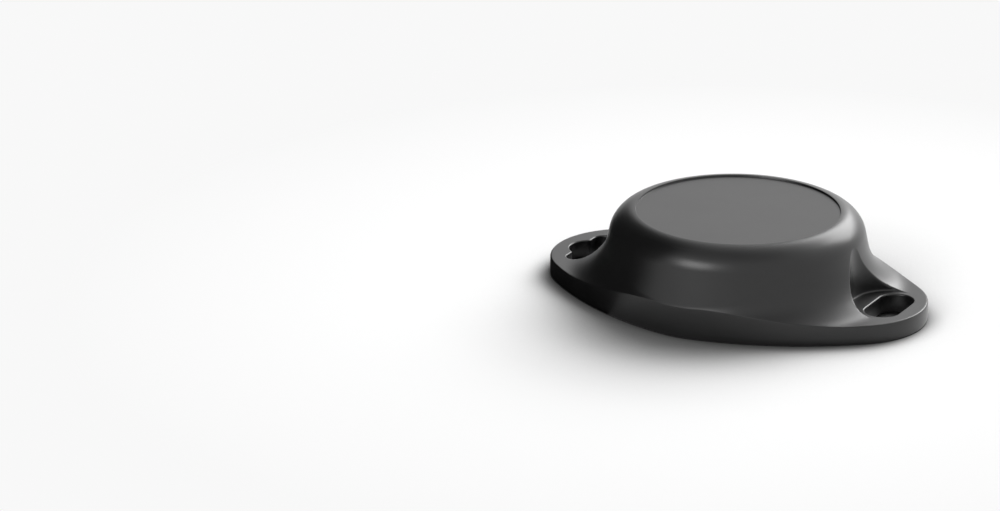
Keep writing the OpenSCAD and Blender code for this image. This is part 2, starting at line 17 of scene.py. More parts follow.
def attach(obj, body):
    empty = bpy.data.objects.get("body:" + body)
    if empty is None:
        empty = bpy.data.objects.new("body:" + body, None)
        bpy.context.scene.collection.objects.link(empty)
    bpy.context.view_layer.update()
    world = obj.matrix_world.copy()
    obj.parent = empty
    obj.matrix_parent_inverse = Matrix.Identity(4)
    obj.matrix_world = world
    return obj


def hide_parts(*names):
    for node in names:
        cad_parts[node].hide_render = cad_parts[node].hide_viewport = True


MM = 0.001
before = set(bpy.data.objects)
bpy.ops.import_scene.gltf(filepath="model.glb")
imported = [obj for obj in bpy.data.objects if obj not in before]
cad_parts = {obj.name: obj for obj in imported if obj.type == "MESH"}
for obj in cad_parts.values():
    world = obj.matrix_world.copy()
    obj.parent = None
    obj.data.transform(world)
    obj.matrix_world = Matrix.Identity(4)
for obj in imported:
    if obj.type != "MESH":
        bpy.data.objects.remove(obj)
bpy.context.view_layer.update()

# %% [markdown]
# The camera comes first, because it is fixed by the photograph's view: low, from the front left, through a
# long lens. It could be placed by a target and an angle, but three axes and a place give it exactly.

# %% Camera
CAMERA_PLACE = (319.331, -653.549, 277.491)
CAMERA_RIGHT = (0.871462, 0.490463, 0.000169)
CAMERA_UP = (-0.171195, 0.303859, 0.93721)
CAMERA_BACK = (0.459615, -0.816772, 0.348766)
LENS_MM, SENSOR_MM = 156.632, 36.0
CLIP_M = (0.05, 20.0)

camera_data = bpy.data.cameras.new("camera")
camera_data.lens = LENS_MM
camera_data.sensor_width = SENSOR_MM
camera_data.clip_start, camera_data.clip_end = CLIP_M
camera = bpy.data.objects.new("camera", camera_data)
bpy.context.scene.collection.objects.link(camera)
turn = Matrix((CAMERA_RIGHT, CAMERA_UP, CAMERA_BACK)).transposed().to_4x4()
camera.matrix_world = Matrix.Translation([c * MM for c in CAMERA_PLACE]) @ turn
bpy.context.scene.camera = camera
print("camera", [round(c, 3) for c in camera.location], "lens", LENS_MM)

# %% [markdown]
# The sizes of the moulding are the solid model's: a dome with a round shoulder and a drafted wall, on a
# flange with a pointed-oval outline. Two forms are finer here. The hollow between wall and flange is wider
# towards the screws than at the waist, which a turned solid can't show, so its radius varies. The screw
# pocket's cone leans out by one degree more, to follow the line of its rim in the photograph.

# %% Sizes of the moulding, in millimetres
FLANGE_T = 3.4
BODY_H = 16.15
DOME_R = 24.65
DRAFT = math.radians(12)
SHOULDER_R = 5.0
HOLLOW_WAIST, HOLLOW_END, HOLLOW_POWER = 3.3, 8.9, 1.7
WAIST_RIPPLE, RIPPLE_DEG = 0.045, 17.0
DISC_R, DISC_DEPTH, DISC_STEP = 18.2, 0.3, 0.12
POCKET_X, POCKET_R, POCKET_DRAFT = 30.42, 7.36, math.radians(2.6)
POCKET_FOOT_R, POCKET_RIM_R, EDGE_R, FOOT_R = 0.35, 0.35, 0.3, 0.3
SLOT_X = 29.8
END_C, END_R = np.array([21.95, 0.0]), 14.0
WAIST_C, WAIST_R = np.array([0.0, 4.25]), 20.0
FLANK_C, FLANK_R = np.array([-7.051, -33.090]), 58.0
BAY_R, CEILING_Z, BAY_CHAMFER = 20.15, 13.85, 1.3

COS_D, SIN_D, TAN_D = math.cos(DRAFT), math.sin(DRAFT), math.tan(DRAFT)
SHOULDER_Z = BODY_H - SHOULDER_R
SHOULDER_X = DOME_R - (SHOULDER_Z - FLANGE_T) * TAN_D - SHOULDER_R / COS_D
print("shoulder centre", round(SHOULDER_X, 3), round(SHOULDER_Z, 3))

# %% [markdown]
# Every visible form of the moulding is a distance: how far a point is outside the dome, outside the
# outline, or inside a screw pocket. Real moulded edges are never sharp. A ball rolled along an edge gives
# its round exactly, if each distance comes with the direction in which it grows, so both are kept.

# %% Distances
def unit(x, y, z):
    """Directions as an array of vectors, from their parts."""
    return np.stack(np.broadcast_arrays(x, y, z), -1)


def round_join(first, second, radius):
    """Larger of two distances, rounded by a ball. Both are measured from the ball's centre line; where the
    point lies between the two directions, its own distance from that line is used instead."""
    (a, na), (b, nb) = first, second
    c = np.clip((na * nb).sum(-1), -0.999, 0.999)
    u, v = a + radius, b + radius
    wu, wv = (u - v * c) / (1 - c * c), (v - u * c) / (1 - c * c)
    on_ball = (wu > 0) & (wv > 0)
    reach = np.sqrt(np.maximum(u * u + v * v - 2 * u * v * c, 1e-12) / (1 - c * c))
    toward = (wu[..., None] * na + wv[..., None] * nb) / reach[..., None]
    plain = np.where((a > b)[..., None], na, nb)
    return (np.where(on_ball, reach - radius, np.maximum(a, b)),
            np.where(on_ball[..., None], toward, plain))


def hollow_radius(x, y):
    """Radius of the hollow: from its value at the waist to its value at the ends, by the cosine's power."""
    cosine = np.abs(x) / np.maximum(np.hypot(x, y), 1e-6)
    return HOLLOW_WAIST + (HOLLOW_END - HOLLOW_WAIST) * cosine ** HOLLOW_POWER


def outline_surface(x, y):
    """Distance to the flange's outline in plan. One quarter is folded over the other three, and a point
    belongs to the end arc, the flank arc or the waist arc by the side of the lines through their centres."""
    p = np.stack([np.abs(x), np.abs(y)], -1)
    v, to_end, to_waist = p - FLANK_C, END_C - FLANK_C, WAIST_C - FLANK_C
    is_end = to_end[0] * v[..., 1] - to_end[1] * v[..., 0] < 0
    is_waist = to_waist[0] * v[..., 1] - to_waist[1] * v[..., 0] > 0
    centre = np.select([is_end[..., None], is_waist[..., None]], [END_C, WAIST_C], FLANK_C)
    radius = np.select([is_end, is_waist], [END_R, WAIST_R], FLANK_R)
    spoke = p - centre
    length = np.maximum(np.hypot(spoke[..., 0], spoke[..., 1]), 1e-6)
    return length - radius, unit(np.sign(x) * spoke[..., 0] / length,
                                 np.sign(y) * spoke[..., 1] / length, 0 * length)


def halve(f, low, high, steps=30):
    """Root of a rising function between low and high, by halving the interval on whole arrays."""
    for _ in range(steps):
        middle = (low + high) / 2
        outside = f(middle) > 0
        low, high = np.where(outside, low, middle), np.where(outside, middle, high)
    return (low + high) / 2


def outline_radius(angle):
    """How far the outline is from the axis in a direction, by halving between 20 and 40 mm."""
    return halve(lambda r: outline_surface(r * np.cos(angle), r * np.sin(angle))[0],
                 np.full_like(angle, 20.0), np.full_like(angle, 40.0), 40)


def waist_shift(x, y):
    """Ripple that keeps the edge between wall and band level at the waist: WAIST_RIPPLE times the cosine of
    the angle from the Y axis, half a wave in RIPPLE_DEG, for one wave and a half, then nothing."""
    off = np.abs(90 - np.degrees(np.arctan2(np.abs(y), np.abs(x))))
    return np.where(off < 1.5 * RIPPLE_DEG, WAIST_RIPPLE * np.cos(math.pi * off / RIPPLE_DEG), 0.0)


def dome_surface(x, y, z):
    """Distance to the half section: top plane, shoulder arc, drafted line, hollow arc and flange plane,
    each used in the sector between the radii through its ends."""
    r = np.hypot(x, y) - waist_shift(x, y)
    cx, cy = x / np.maximum(np.hypot(x, y), 1e-6), y / np.maximum(np.hypot(x, y), 1e-6)
    hollow_r = hollow_radius(x, y)
    hollow_z = FLANGE_T + hollow_r
    hollow_x = DOME_R - hollow_r * TAN_D + hollow_r / COS_D
    below = (z - hollow_z) * COS_D - (r - hollow_x) * SIN_D < 0
    above = (z - SHOULDER_Z) * COS_D - (r - SHOULDER_X) * SIN_D > 0
    to_hollow = np.maximum(np.hypot(r - hollow_x, z - hollow_z), 1e-6)
    to_shoulder = np.maximum(np.hypot(r - SHOULDER_X, z - SHOULDER_Z), 1e-6)
    wall = (r - DOME_R) * COS_D + (z - FLANGE_T) * SIN_D
    cases = [r >= hollow_x, below, r <= SHOULDER_X, above]
    distance = np.select(cases, [z - FLANGE_T, hollow_r - to_hollow, z - BODY_H,
                                 to_shoulder - SHOULDER_R], wall)
    nr = np.select(cases, [0 * r, (hollow_x - r) / to_hollow, 0 * r, (r - SHOULDER_X) / to_shoulder], COS_D)
    nz = np.select(cases, [1 + 0 * r, (hollow_z - z) / to_hollow, 1 + 0 * r,
                           (z - SHOULDER_Z) / to_shoulder], SIN_D)
    return distance, unit(nr * cx, nr * cy, nz)


def pocket_surface(x, y, z):
    """Distance out of the nearer screw pocket: a cone with draft over a floor, joined by a small round."""
    dx = np.abs(x) - POCKET_X
    rho = np.maximum(np.hypot(dx, y), 1e-6)
    cos_p, sin_p = math.cos(POCKET_DRAFT), math.sin(POCKET_DRAFT)
    side = (rho - POCKET_R - (z - FLANGE_T) * math.tan(POCKET_DRAFT)) * cos_p
    side_way = unit(np.sign(x) * dx / rho * cos_p, y / rho * cos_p, -sin_p + 0 * rho)
    floor_way = unit(0 * rho, 0 * rho, -1 + 0 * rho)
    return round_join((FLANGE_T - z, floor_way), (side, side_way), POCKET_FOOT_R)


def skin_distance(x, y, z):
    """The whole moulding: inside the dome, outside the pockets, inside the outline. The pocket's rim
    fades out where the pocket has no depth."""
    rim = np.minimum(POCKET_RIM_R, 0.6 * np.maximum(z - FLANGE_T, 0.0) + 1e-4)
    pocket, pocket_way = pocket_surface(x, y, z)
    body = round_join(dome_surface(x, y, z), (-pocket, -pocket_way), rim)
    return round_join(body, outline_surface(x, y), EDGE_R)[0]


above_disc = skin_distance(np.array([0.1]), np.array([0.1]), np.array([BODY_H + 1.0]))
print("a point above the disc is", round(float(above_disc[0]), 2), "mm outside")

# %% [markdown]
# Seen from above the moulding is a height over a plane, so a cut through the axis is one line from the
# middle of the disc out to the flange's edge. The line is found by halving an interval on whole arrays,
# and then its points are spread by length and by how sharply it turns, so that rounds get more of them.

# %% Cuts through the axis
FINE_STEP, WIDE_STEP, FINE_SPAN, RAMP_STEPS = math.radians(0.2), math.radians(1.5), math.radians(16.4), 8


def cut_angles():
    """Directions of the cuts round the axis, close together over the pockets and wider over the flanks."""
    fine, wide = FINE_STEP, WIDE_STEP
    near = np.arange(0, FINE_SPAN, fine)
    ramp = near[-1] + np.cumsum(np.linspace(fine, wide, RAMP_STEPS))
    rest = np.linspace(ramp[-1], math.pi / 2, int((math.pi / 2 - ramp[-1]) / wide) + 2)[1:]
    quarter = np.concatenate([near, ramp, rest])
    half = np.concatenate([quarter, (math.pi - quarter[:-1])[::-1]])
    return np.concatenate([half, (math.pi + half[1:-1])])


def disc_recess(r, z):
    """Lowers the top inside the disc's rim by its depth, through a short smooth step."""
    t = np.clip((DISC_R - r) / DISC_STEP, 0.0, 1.0)
    return z - DISC_DEPTH * t * t * (3 - 2 * t)


INNER_R = np.concatenate([[1.0, 4.0, 8.0, 12.0, 15.0, 17.0, 17.8, 18.0],
                          np.linspace(18.07, 18.21, 8), np.linspace(18.4, 20.8, 13)])
OUTER_R = np.concatenate([np.linspace(20.8, 21.8, 40), np.linspace(21.85, 24.8, 480),
                          np.linspace(24.85, 30.0, 160), np.linspace(30.1, 36.0, 50)])

EDGE_POINTS, EDGE_ZONE = 40, 2.4

theta = cut_angles()[:, None]
cos_t, sin_t = np.cos(theta), np.sin(theta)
edge_r = outline_radius(theta)
near_edge = edge_r - EDGE_R * EDGE_ZONE * np.linspace(1, 0, EDGE_POINTS)[None, :] ** 2 - 1e-6
inland = np.minimum(OUTER_R[None, :], edge_r - EDGE_R * (EDGE_ZONE + 0.1))
radii = np.sort(np.concatenate([inland, near_edge], 1), 1)
px, py = radii * cos_t, radii * sin_t
heights = halve(lambda z: skin_distance(px, py, z), np.full_like(px, 0.5), np.full_like(px, BODY_H + 0.2))
inner_z = disc_recess(INNER_R, BODY_H - SHOULDER_R + np.sqrt(
    SHOULDER_R ** 2 - np.maximum(INNER_R - SHOULDER_X, 0.0) ** 2))
print("cuts", theta.size, "points on each", radii.shape[1], "top", round(float(inner_z.max()), 3))

# %% [markdown]
# The lower part needs no search: the band drops straight to a small round at the foot, the underside runs
# in to the bay, and the bay's wall climbs to a chamfer under the ceiling. Joined to the cuts, this makes a
# closed skin whose rings all have the same number of points.

# %% Rings of the skin
def spread(line_r, line_z, count, turn_length):
    """Places count points on each cut, evenly in length plus turn_length for every radian it turns."""
    dr, dz = np.diff(line_r, axis=1), np.diff(line_z, axis=1)
    length = np.hypot(dr, dz)
    heading = np.unwrap(np.arctan2(dz, dr + 1e-12), axis=1)
    bend = np.abs(np.diff(heading, axis=1, prepend=heading[:, :1]))
    bend = np.where(length > 1e-5, bend, 0.0)
    run = np.cumsum(length + turn_length * bend, axis=1)
    run = np.concatenate([np.zeros((len(run), 1)), run], 1) / run[:, -1:]
    row = 2.0 * np.arange(len(run))[:, None]
    want = (np.linspace(0, 1, count)[None, :] + row).ravel()
    take = lambda values: np.interp(want, (run + row).ravel(), values.ravel()).reshape(len(run), count)
    return take(line_r), take(line_z)


def lower_rings(edge, top_z):
    """Radius and height of the band, foot round, underside, bay wall, chamfer and ceiling, ring by ring."""
    zeros = np.zeros_like(edge)
    rings = [(edge, FOOT_R + (top_z - FOOT_R) * t) for t in (0.8, 0.6, 0.4, 0.2)]
    rings += [(edge - FOOT_R * (1 - math.cos(q)), zeros + FOOT_R * (1 - math.sin(q)))
              for q in np.linspace(0, math.pi / 2, 6)]
    rings += [(edge + (BAY_R + 0.2 - edge) * t, zeros) for t in (0.35, 0.7, 1.0)]
    rings += [(zeros + BAY_R, zeros + z) for z in (0.2, 4.0, 8.0, CEILING_Z - BAY_CHAMFER)]
    rings += [(zeros + (BAY_R - BAY_CHAMFER) * t, zeros + CEILING_Z) for t in (1.0, 0.5)]
    return [np.concatenate(part, 1) for part in zip(*rings)]


TOP_RINGS, TURN_LENGTH = 92, 0.9
top_r, top_z = spread(radii, heights, TOP_RINGS, TURN_LENGTH)
low_r, low_z = lower_rings(edge_r, top_z[:, -1:])
disc_r, disc_z = [np.broadcast_to(v, (theta.size, v.size)) for v in (INNER_R, inner_z)]
ring_r = np.concatenate([disc_r, top_r[:, 1:], low_r], 1)
ring_z = np.concatenate([disc_z, top_z[:, 1:], low_z], 1)
print("rings", ring_r.shape[1], "round the axis", ring_r.shape[0])

# %% [markdown]
# Two kinds of mesh do for everything here. One closes round the axis and ends in a point at both ends,
# and makes anything turned. The other carries a closed outline from place to place and caps its ends.

# %% Mesh helpers
def new_piece(name, points, faces):
    """Object from an array of points in millimetres and a list of faces, with smooth shading."""
    mesh = bpy.data.meshes.new(name)
    mesh.from_pydata(np.asarray(points) * MM, [], faces)
    mesh.polygons.foreach_set("use_smooth", np.ones(len(mesh.polygons), bool))
    mesh.update()
    piece = bpy.data.objects.new(name, mesh)
    bpy.context.scene.collection.objects.link(piece)
    return piece


def closed_skin(x, y, z, z_first, z_last):
    """Points and faces of rings that close round the axis, with a point on the axis at either end.
    x, y and z are arrays of cuts by rings; the first ring is the one next to the first point."""
    cuts, rings = x.shape
    points = np.concatenate([np.stack([x, y, z], -1).reshape(-1, 3), [[0, 0, z_first], [0, 0, z_last]]])
    i, j = np.meshgrid(np.arange(cuts), np.arange(rings - 1), indexing="ij")
    n = (i + 1) % cuts
    quads = np.stack([i * rings + j, i * rings + j + 1, n * rings + j + 1, n * rings + j], -1).reshape(-1, 4)
    a = np.arange(cuts)
    b = (a + 1) % cuts
    first = np.stack([np.full(cuts, cuts * rings), a * rings, b * rings], -1)
    last = np.stack([np.full(cuts, cuts * rings + 1), b * rings + rings - 1, a * rings + rings - 1], -1)
    return points, quads.tolist() + first.tolist() + last.tolist()


def turned(profile, cuts=120):
    """Points and faces of a profile of radius and height turned round the axis; its two ends lie on it."""
    angle = np.linspace(0, 2 * math.pi, cuts, endpoint=False)[:, None]
    r, z = np.asarray(profile)[1:-1].T
    x, y = r * np.cos(angle), r * np.sin(angle)
    return closed_skin(x, y, np.broadcast_to(z, x.shape), profile[0][1], profile[-1][1])


def carried(loops, closed=False):
    """Points and faces of a closed outline carried through places: loops is places by points by 3."""
    places, n = loops.shape[:2]
    steps = places if closed else places - 1
    i, j = np.meshgrid(np.arange(n), np.arange(steps), indexing="ij")
    k, m = (i + 1) % n, (j + 1) % places
    sides = np.stack([j * n + i, j * n + k, m * n + k, m * n + i], -1).reshape(-1, 4).tolist()
    ends = [] if closed else [list(range(n))[::-1], list(range((places - 1) * n, places * n))]
    return loops.reshape(-1, 3), sides + ends


def joined(parts):
    """Points and faces of several meshes put together in one."""
    starts = np.cumsum([0] + [len(points) for points, _ in parts])
    faces = [[corner + int(s) for corner in face] for (_, part), s in zip(parts, starts) for face in part]
    return np.concatenate([points for points, _ in parts]), faces


def sharpen(piece, degrees):
    """Keeps edges that turn by more than an angle sharp, so that flat faces stay flat."""
    piece.data.set_sharp_from_angle(angle=math.radians(degrees))
    return piece


skin_points, skin_faces = closed_skin(ring_r * cos_t, ring_r * sin_t, ring_z, BODY_H - DISC_DEPTH, CEILING_Z)
housing_skin = new_piece("housing_skin", skin_points, skin_faces)
print("housing skin:", len(skin_points), "points,", len(skin_faces), "faces")

# %% [markdown]
# The slots could be left out of the grid, but its lines don't follow them. Each slot lies wholly in flat
# plastic, so a cutter with the slot's outline can be taken out of the skin cleanly. The cutter flares at
# both ends, which rounds the slot's edges. The same cut sinks two index marks into the underside, where
# the cover's own mark points when it is shut and when it is open.

# %% Slots and index marks
SLOT_RIM_R, SLOT_RIM_DEG, SLOT_HALF_W, SLOT_HALF_L = 0.3, 76, 3.1, 6.0
MARK_R, SHUT_DEG, OPEN_DEG = 22.25, 90, 40
DIMPLE_R, DIMPLE_FLARE, DIMPLE_DEPTH, DIMPLE_SIDES = 0.6, 0.06, 0.25, 24


def arc(cx, cy, radius, start, end, count=14):
    """Points on an arc, between two angles in degrees."""
    a = np.radians(np.linspace(start, end, count))
    return np.stack([cx + radius * np.cos(a), cy + radius * np.sin(a)], -1)


def mirrored(quarter):
    """Closed outline from a quarter that runs from the X axis to the Y axis."""
    flip_x = quarter[::-1] * [-1, 1]
    upper = np.concatenate([quarter, flip_x[1:]])
    return np.concatenate([upper, (upper * [1, -1])[::-1][1:-1]])


def keyhole_outline(grow):
    """A round middle, a fillet, and a narrow end; grow moves the whole outline outwards."""
    head_r, shank_r, half_l, fillet = 3.65, 1.7, 6.85, 1.0
    fx = shank_r + fillet
    fy = math.sqrt((head_r + fillet) ** 2 - fx ** 2)
    lean = math.degrees(math.atan2(fy, fx))
    return mirrored(np.concatenate([
        arc(0, 0, head_r + grow, 0, lean, 18)[:-1], arc(fx, fy, fillet - grow, 180 + lean, 180, 8),
        arc(0, half_l - shank_r, shank_r + grow, 0, 90, 12)]))


def slot_outline(half_w, half_l):
    """A plain slot with round ends, long in Y; the result is a function of how far the outline grows."""
    def outline(grow):
        quarter = arc(0, half_l - half_w, half_w + grow, 0, 90, 18)
        return mirrored(np.concatenate([[[half_w + grow, 0.0]], quarter]))
    return outline


def slot_cutter(name, outline, x):
    """Prism with a slot's outline, wider in a quarter round at the flange's two faces."""
    rim = SLOT_RIM_R
    bow = np.radians(np.linspace(0, SLOT_RIM_DEG, 7))
    upper = [(FLANGE_T - rim + rim * math.sin(b), rim * (1 - math.cos(b))) for b in bow]
    steps = [(FLANGE_T - z, g) for z, g in upper[::-1]] + upper
    steps = [(-1.0, steps[0][1])] + steps + [(FLANGE_T + 1.0, steps[-1][1])]
    return new_piece(name, *carried(np.stack([
        np.column_stack([outline(g) + [x, 0], np.full(len(outline(g)), z)]) for z, g in steps])))


def mark_cutter(name, radius, degrees, face_z):
    """Round dimple's cutter, a little wider at the face it sinks into."""
    a, n, mouth_r = math.radians(degrees), DIMPLE_SIDES, DIMPLE_R + DIMPLE_FLARE
    loops = [np.column_stack([arc(radius * math.cos(a), radius * math.sin(a), r, 0, 360 - 360 / n, n),
                              np.full(n, face_z + z)])
             for r, z in ((mouth_r, -0.5), (mouth_r, 0.0), (DIMPLE_R, DIMPLE_DEPTH))]
    return new_piece(name, *carried(np.stack(loops)))


def mend(mesh, close=2e-6):
    """Joins points that a cut left closer than close, in metres, takes out the faces with no area, splits
    those with many corners, and fills the hair-thin gaps that the cut left along its edge."""
    work = bmesh.new()
    work.from_mesh(mesh)
    bmesh.ops.remove_doubles(work, verts=work.verts, dist=close)
    bmesh.ops.dissolve_degenerate(work, edges=work.edges, dist=close)
    bmesh.ops.triangulate(work, faces=[f for f in work.faces if len(f.verts) > 4], ngon_method="BEAUTY")
    bmesh.ops.dissolve_degenerate(work, edges=work.edges, dist=close)
    bmesh.ops.holes_fill(work, edges=[e for e in work.edges if e.is_boundary], sides=0)
    bmesh.ops.recalc_face_normals(work, faces=work.faces)
    print(mesh.name, "open edges", sum(not e.is_manifold for e in work.edges))
    work.to_mesh(mesh)
    work.free()


def cut(piece, tools):
    """Takes the tools out of the piece, keeps the result as the piece's mesh, and removes the tools."""
    for tool in tools:
        step = piece.modifiers.new("cut", "BOOLEAN")
        step.operation, step.solver, step.object = "DIFFERENCE", "EXACT", tool
    seen = piece.evaluated_get(bpy.context.evaluated_depsgraph_get())
    old, piece.data = piece.data, bpy.data.meshes.new_from_object(seen)
    name = old.name
    bpy.data.meshes.remove(old)
    piece.data.name = name
    piece.modifiers.clear()
    mend(piece.data)
    for tool in tools:
        bpy.data.objects.remove(tool)


cut(housing_skin, [slot_cutter("keyhole_cutter", keyhole_outline, -SLOT_X),
                   slot_cutter("wide_cutter", slot_outline(SLOT_HALF_W, SLOT_HALF_L), SLOT_X),
                   mark_cutter("shut_cutter", MARK_R, SHUT_DEG, 0.0),
                   mark_cutter("open_cutter", MARK_R, OPEN_DEG, 0.0)])
sharpen(housing_skin, 32)
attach(housing_skin, "shell")
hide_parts("housing")
print("housing skin after its cuts:", len(housing_skin.data.polygons), "faces")

# %% [markdown]
# Inside the bay the moulding has two more features: three ledges that hold the cover's lugs, each with a
# stop at one end, and three bosses with a rib for the board's screws. They were part of the solid that the
# skin stands for, so they are made again here, as outlines carried round the axis.

# %% Ledges and bosses in the bay
def soft_corners(r0, r1, z0, z1, corner, count=4):
    """Rectangle of radius and height with rounded corners, as a closed outline."""
    centres = ((r1, z1, -1, -1, 0), (r0, z1, 1, -1, 90), (r0, z0, 1, 1, 180), (r1, z0, -1, 1, 270))
    return np.concatenate([arc(r + sr * corner, z + sz * corner, corner, start, start + 90, count)
                           for r, z, sr, sz, start in centres])


def arc_bar(section, middle_deg, span_deg, count=24):
    """A section of radius and height carried round the axis, over a span about a middle angle."""
    a = np.radians(np.linspace(middle_deg + span_deg / 2, middle_deg - span_deg / 2, count))[:, None]
    r, z = section[:, 0][None, :], section[:, 1][None, :]
    return carried(np.stack([r * np.cos(a), r * np.sin(a), np.broadcast_to(z, (count, len(section)))], -1))


LEDGE_R, LEDGE_Z, LEDGE_T, LEDGE_DEG, CORNER_R = 18.95, 3.9, 1.2, 50, 0.12
LUG_T, LUG_GAP, LUG_DEG, LUG_PLACES = 1.2, 0.1, 36, (0, 120, 240)
STOP_GAP_DEG, STOP_END_DEG = 1.5, 0.8
INTO_WALL = 0.3
STOP_DEG = (LEDGE_DEG - LUG_DEG) / 2 - STOP_GAP_DEG - STOP_END_DEG
STOP_MIDDLE = LUG_DEG / 2 + STOP_GAP_DEG + STOP_DEG / 2
ledge_bar = soft_corners(LEDGE_R, BAY_R + INTO_WALL, LEDGE_Z, LEDGE_Z + LEDGE_T, CORNER_R)
stop_bar = soft_corners(LEDGE_R + 0.15, BAY_R + INTO_WALL, LEDGE_Z + LEDGE_T - 0.2,
                        LEDGE_Z + LEDGE_T + LUG_GAP + LUG_T, CORNER_R)
ledge_parts = [arc_bar(ledge_bar, a, LEDGE_DEG) for a in LUG_PLACES]
ledge_parts += [arc_bar(stop_bar, a + STOP_MIDDLE, STOP_DEG, 6) for a in LUG_PLACES]

BOSS_RING_R, BOSS_R, PILOT_R, BOARD_TOP, RIB_HALF_W = 16.55, 2.0, 0.85, 10.1, 0.7
BOSS_SIDES, BOSS_PLACES = 32, (30, 150, 270)
tube = soft_corners(PILOT_R, BOSS_R, BOARD_TOP, CEILING_Z + INTO_WALL, 0.15)
round_angle = np.linspace(2 * math.pi, 0, BOSS_SIDES, endpoint=False)[:, None]
rib = soft_corners(-RIB_HALF_W, RIB_HALF_W, BOARD_TOP, CEILING_Z + INTO_WALL, CORNER_R)


def boss(degrees):
    """A tube for the screw and a rib from it to the bay's wall, both moved out to the boss's place."""
    a = math.radians(degrees)
    out, side = np.array([math.cos(a), math.sin(a), 0]), np.array([-math.sin(a), math.cos(a), 0])
    ring = np.stack([tube[:, 0] * np.cos(round_angle), tube[:, 0] * np.sin(round_angle),
                     np.broadcast_to(tube[:, 1], (BOSS_SIDES, len(tube)))], -1) + out * BOSS_RING_R
    bar = np.stack([out * r + side * rib[:, :1] + np.array([0, 0, 1]) * rib[:, 1:]
                    for r in (BAY_R + INTO_WALL, BOSS_RING_R + BOSS_R - INTO_WALL)])
    return [carried(ring, closed=True), carried(bar)]


housing_ledges = new_piece("housing_ledges", *joined(ledge_parts))
housing_bosses = new_piece("housing_bosses", *joined([part for a in BOSS_PLACES for part in boss(a)]))
for piece in (housing_ledges, housing_bosses):
    sharpen(piece, 40)
    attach(piece, "shell")
print("ledges", len(housing_ledges.data.polygons), "bosses", len(housing_bosses.data.polygons), "faces")

# %% [markdown]
# The back cover is the only other piece that shows from outside. It is a plate with a ring that carries
# three lugs. A solid's crisp rim would catch no light, so the plate is turned with a round on its outer
# edge, and the coin slot and the index mark are cut into it. Points in the middle of a flat or a wall only
# keep the faces there from growing long.

# %% Back cover
COVER_Z0, COVER_Z1, COVER_R, COVER_RIM_R = 0.3, 2.3, 20.0, 0.4
RING_R, RING_IN, RING_TOP, RING_TIP_R = 18.75, 17.35, 6.4, 0.2
COIN_HALF_W, COIN_HALF_L, COIN_DEPTH, COIN_CHAMFER, COVER_MARK_R = 1.1, 8.0, 1.1, 0.15, 18.05
tip_z = RING_TOP - RING_TIP_R
cover_line = np.concatenate([
    [[0, COVER_Z1], [6, COVER_Z1], [12, COVER_Z1], [RING_IN, COVER_Z1], [RING_IN, 4.3]],
    arc(RING_IN + RING_TIP_R, tip_z, RING_TIP_R, 180, 90, 4),
    arc(RING_R - RING_TIP_R, tip_z, RING_TIP_R, 90, 0, 4),
    [[RING_R, 4.3], [RING_R, COVER_Z1 + 0.1], [RING_R + 0.1, COVER_Z1], [COVER_R - 0.1, COVER_Z1],
     [COVER_R, COVER_Z1 - 0.1], [COVER_R, 1.4]],
    arc(COVER_R - COVER_RIM_R, COVER_Z0 + COVER_RIM_R, COVER_RIM_R, 0, -90, 8),
    [[12, COVER_Z0], [6, COVER_Z0], [0, COVER_Z0]]])
cover_skin = new_piece("cover_skin", *turned(cover_line, 180))


def coin_cutter(name):
    """Prism with the coin slot's outline, its mouth wider by a small chamfer."""
    outline = slot_outline(COIN_HALF_W, COIN_HALF_L)
    steps = ((-0.5, COIN_CHAMFER), (COVER_Z0, COIN_CHAMFER), (COVER_Z0 + COIN_CHAMFER, 0.0),
             (COVER_Z0 + COIN_DEPTH, 0.0))
    return new_piece(name, *carried(np.stack([
        np.column_stack([outline(g), np.full(len(outline(g)), z)]) for z, g in steps])))


cut(cover_skin, [coin_cutter("coin_cutter"),
                 mark_cutter("cover_mark_cutter", COVER_MARK_R, SHUT_DEG, COVER_Z0)])
lug_bar = soft_corners(RING_R - INTO_WALL, COVER_R - 0.1, RING_TOP - LUG_T, RING_TOP, CORNER_R)
cover_lugs = new_piece("cover_lugs", *joined([arc_bar(lug_bar, a, LUG_DEG) for a in LUG_PLACES]))
for piece in (cover_skin, cover_lugs):
    sharpen(piece, 32)
    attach(piece, "cover")
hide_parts("back_cover")
print("cover", len(cover_skin.data.polygons), "lugs", len(cover_lugs.data.polygons), "faces")

# %% [markdown]
# The foam pad that steadies the cell is soft, so it is a low crowned cushion and not a plain disc: flat
# where it is stuck to the cover, full in the middle, with a rim that is rounded by its own skin.

# %% Foam pad
PAD_R, PAD_Z0, PAD_T = 9.0, 2.3, 0.6
PAD_SPAN_POWER, PAD_HEIGHT_POWER, PAD_CROWN = 0.35, 0.5, 0.12
around = np.linspace(0, math.pi, 31)
pad_r = PAD_R * np.sin(around) ** PAD_SPAN_POWER
pad_half = np.sign(np.cos(around)) * np.abs(np.cos(around)) ** PAD_HEIGHT_POWER
pad_crown = np.where(pad_half > 0, 1 - PAD_CROWN * (pad_r / PAD_R) ** 2, 1.0)
pad_line = np.column_stack([pad_r, PAD_Z0 + PAD_T / 2 * (1 + pad_half * pad_crown)])
pad_line[[0, -1], 0] = 0.0
pad_cushion = new_piece("pad_cushion", *turned(pad_line, 96))
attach(pad_cushion, "cover")
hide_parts("foam_pad")
print("pad", len(pad_cushion.data.polygons), "faces")

# %% [markdown]
# Moulded plastic is not one flat colour. A spark-finished mould leaves a grain of about a tenth of a
# millimetre, and the gloss drifts a little from place to place. Rolled metal has the same kinds of drift,
# but drawn out along one direction, and ceramics and laminates are speckled. Each of these three effects
# is a node group with its own inputs, made once and placed in many materials.

